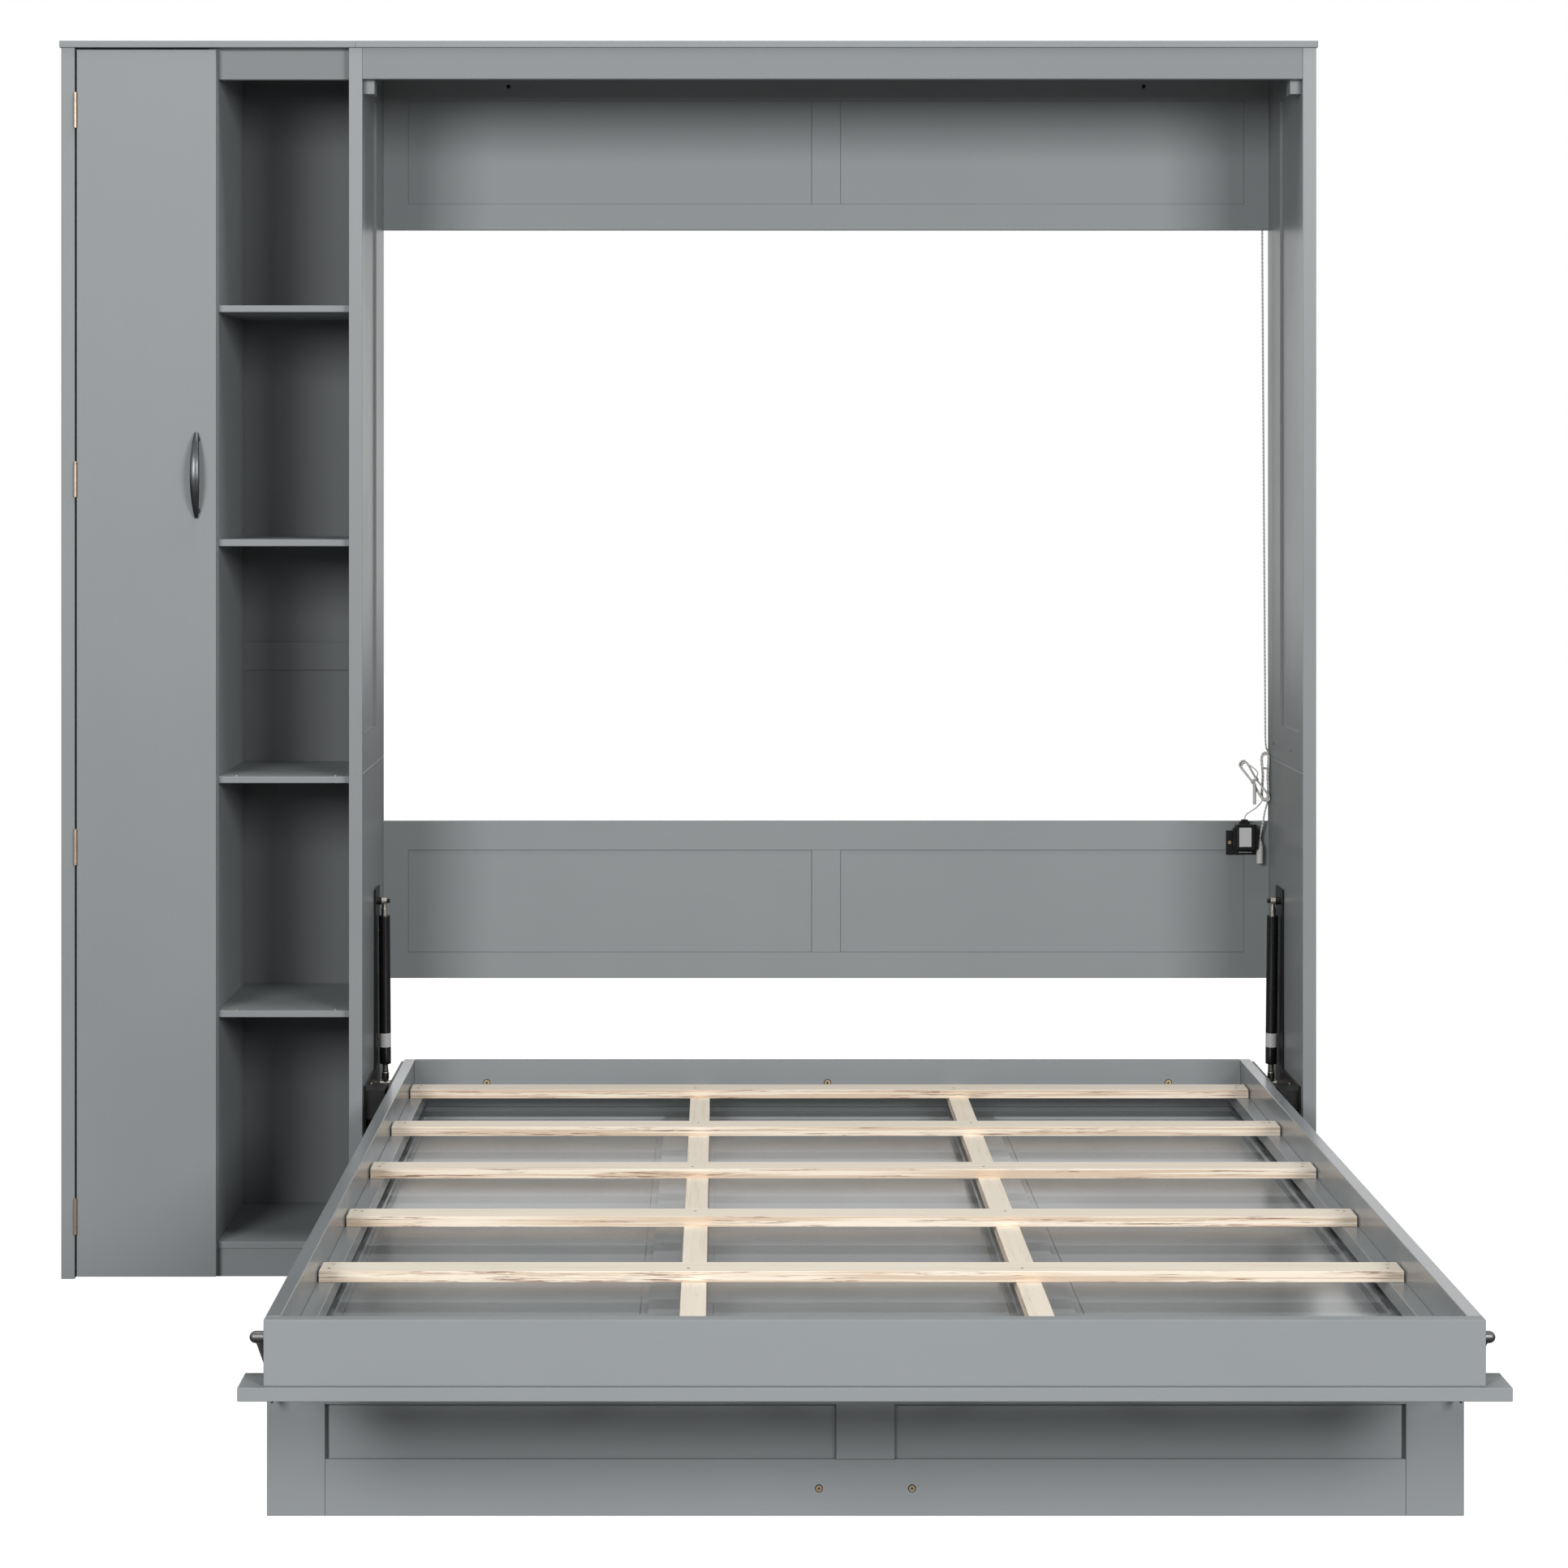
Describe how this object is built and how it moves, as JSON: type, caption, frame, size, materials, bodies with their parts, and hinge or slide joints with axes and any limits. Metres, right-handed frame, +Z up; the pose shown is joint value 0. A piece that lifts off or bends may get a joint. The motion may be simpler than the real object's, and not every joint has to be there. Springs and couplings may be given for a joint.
{
  "type": "murphy wall bed",
  "caption": "Wall bed that swings up into a tall cabinet on gas struts, with a folding leg board, a slatted base, an open shelf bay and a closet with a door.",
  "frame": {"origin": "centre of the whole part's footprint on the floor, with the bed down, the leg out and the closet door shut", "axes": "+Z up, +Y to the wall behind the cabinet, +X to the right as seen by a person standing at the bed's foot and looking at the cabinet"},
  "size_m": [2.24, 2.183, 2.204],
  "materials": {
    "painted_board": "satin cool grey paint on board",
    "slat_wood": "pale bare softwood with fine grain",
    "black_steel": "black powder coat",
    "bright_steel": "bright plated steel",
    "screw_brass": "passivated brass-coloured screws",
    "handle_metal": "dark gunmetal lacquer",
    "black_plastic": "fine matt texture",
    "white_plastic": "grey-white moulded plastic",
    "white_cord": "soft white jacket"
  },
  "bodies": {
    "cabinet": {"closet_side": "painted_board", "closet_partition": "painted_board", "divider_upper": "painted_board", "divider_lower": "painted_board", "right_side_upper": "painted_board", "right_side_lower": "painted_board", "top_board_closet": "painted_board", "top_board_bed": "painted_board", "fascia_bed": "painted_board", "fascia_shelves": "painted_board", "bay_shelf_1": "painted_board", "bay_shelf_2": "painted_board", "bay_shelf_3": "painted_board", "bay_shelf_4": "painted_board", "unit_floor": "painted_board", "kick_board": "painted_board", "closet_back": "painted_board", "back_board_upper": "painted_board", "back_board_lower": "painted_board", "stop_blocks": "painted_board", "closet_hinge_frame_leaves": "bright_steel", "pivot_plates": "black_steel", "cabinet_screws": "bright_steel", "light_lead": "white_cord", "light_hank": "white_cord", "light_connector": "white_plastic", "adaptor_lead": "white_cord", "adaptor_hank": "white_cord", "adaptor_plug": "white_plastic", "adaptor_plate": "black_plastic", "adaptor_box": "black_plastic"},
    "closet_door": {"closet_door": "painted_board", "door_handle": "handle_metal", "closet_hinge_door_leaves": "bright_steel"},
    "bed": {"bed_rail_left": "painted_board", "bed_rail_right": "painted_board", "bed_foot_board": "painted_board", "bed_head_board": "painted_board", "face_plank": "painted_board", "bed_cleats": "painted_board", "cross_slats": "slat_wood", "long_slats": "slat_wood", "face_frame": "painted_board", "face_panels": "painted_board", "bed_brackets": "black_steel", "bed_screws": "screw_brass", "leg_hinge_bed_leaves": "bright_steel", "stay_studs": "bright_steel"},
    "leg": {"leg_frame": "painted_board", "leg_panels": "painted_board", "leg_handle": "handle_metal", "leg_hinge_leg_leaves": "bright_steel", "stay_lugs": "black_steel", "leg_handle_screws": "screw_brass"},
    "strut_cylinder_left": {"strut_cylinder_left": "black_steel"},
    "strut_rod_left": {"strut_rod_left": "bright_steel"},
    "strut_cylinder_right": {"strut_cylinder_right": "black_steel"},
    "strut_rod_right": {"strut_rod_right": "bright_steel"},
    "stay_tubes": {"stay_tubes": "bright_steel"},
    "stay_rods": {"stay_rods": "bright_steel"}
  },
  "joints": [
    {"name": "bed_lift", "type": "hinge", "parent": "cabinet", "child": "bed", "pos_m": [0.256, 0.7405, 0.2965], "axis": [-1, 0, 0], "range_deg": [0, 90]},
    {"name": "door_swing", "type": "hinge", "parent": "cabinet", "child": "closet_door", "pos_m": [-1.09125, 0.6763, 1.1], "axis": [0, 0, -1], "range_deg": [0, 110]},
    {"name": "leg_fold", "type": "hinge", "parent": "bed", "child": "leg", "pos_m": [0.256, -0.764, 0.232], "axis": [-1, 0, 0], "range_deg": [0, 90]},
    {"name": "strut_left_pivot", "type": "hinge", "parent": "cabinet", "child": "strut_cylinder_left", "pos_m": [-0.564, 0.9195, 0.645], "axis": [-1, 0, 0], "range_deg": [0, 21]},
    {"name": "strut_left_slide", "type": "slide", "parent": "strut_cylinder_left", "child": "strut_rod_left", "axis": [0, 0.0646, -0.9979], "range_m": [0, 0.236]},
    {"name": "strut_right_pivot", "type": "hinge", "parent": "cabinet", "child": "strut_cylinder_right", "pos_m": [1.076, 0.9195, 0.645], "axis": [-1, 0, 0], "range_deg": [0, 21]},
    {"name": "strut_right_slide", "type": "slide", "parent": "strut_cylinder_right", "child": "strut_rod_right", "axis": [0, 0.0646, -0.9979], "range_m": [0, 0.236]},
    {"name": "stay_pivot", "type": "hinge", "parent": "bed", "child": "stay_tubes", "pos_m": [0.256, -1.0105, 0.3], "axis": [1, 0, 0], "range_deg": [0, 24]},
    {"name": "stay_slide", "type": "slide", "parent": "stay_tubes", "child": "stay_rods", "axis": [0, -0.8597, 0.5107], "range_m": [0, 0.04]}
  ],
  "couplings": [
    {"joint": "strut_left_pivot", "follows": "bed_lift", "ratio": 0.23267},
    {"joint": "strut_left_slide", "follows": "bed_lift", "m_per_rad": 0.14937},
    {"joint": "strut_right_pivot", "follows": "bed_lift", "ratio": 0.23267},
    {"joint": "strut_right_slide", "follows": "bed_lift", "m_per_rad": 0.14937},
    {"joint": "stay_pivot", "follows": "leg_fold", "ratio": 0.26471},
    {"joint": "stay_slide", "follows": "leg_fold", "m_per_rad": 0.02486}
  ]
}
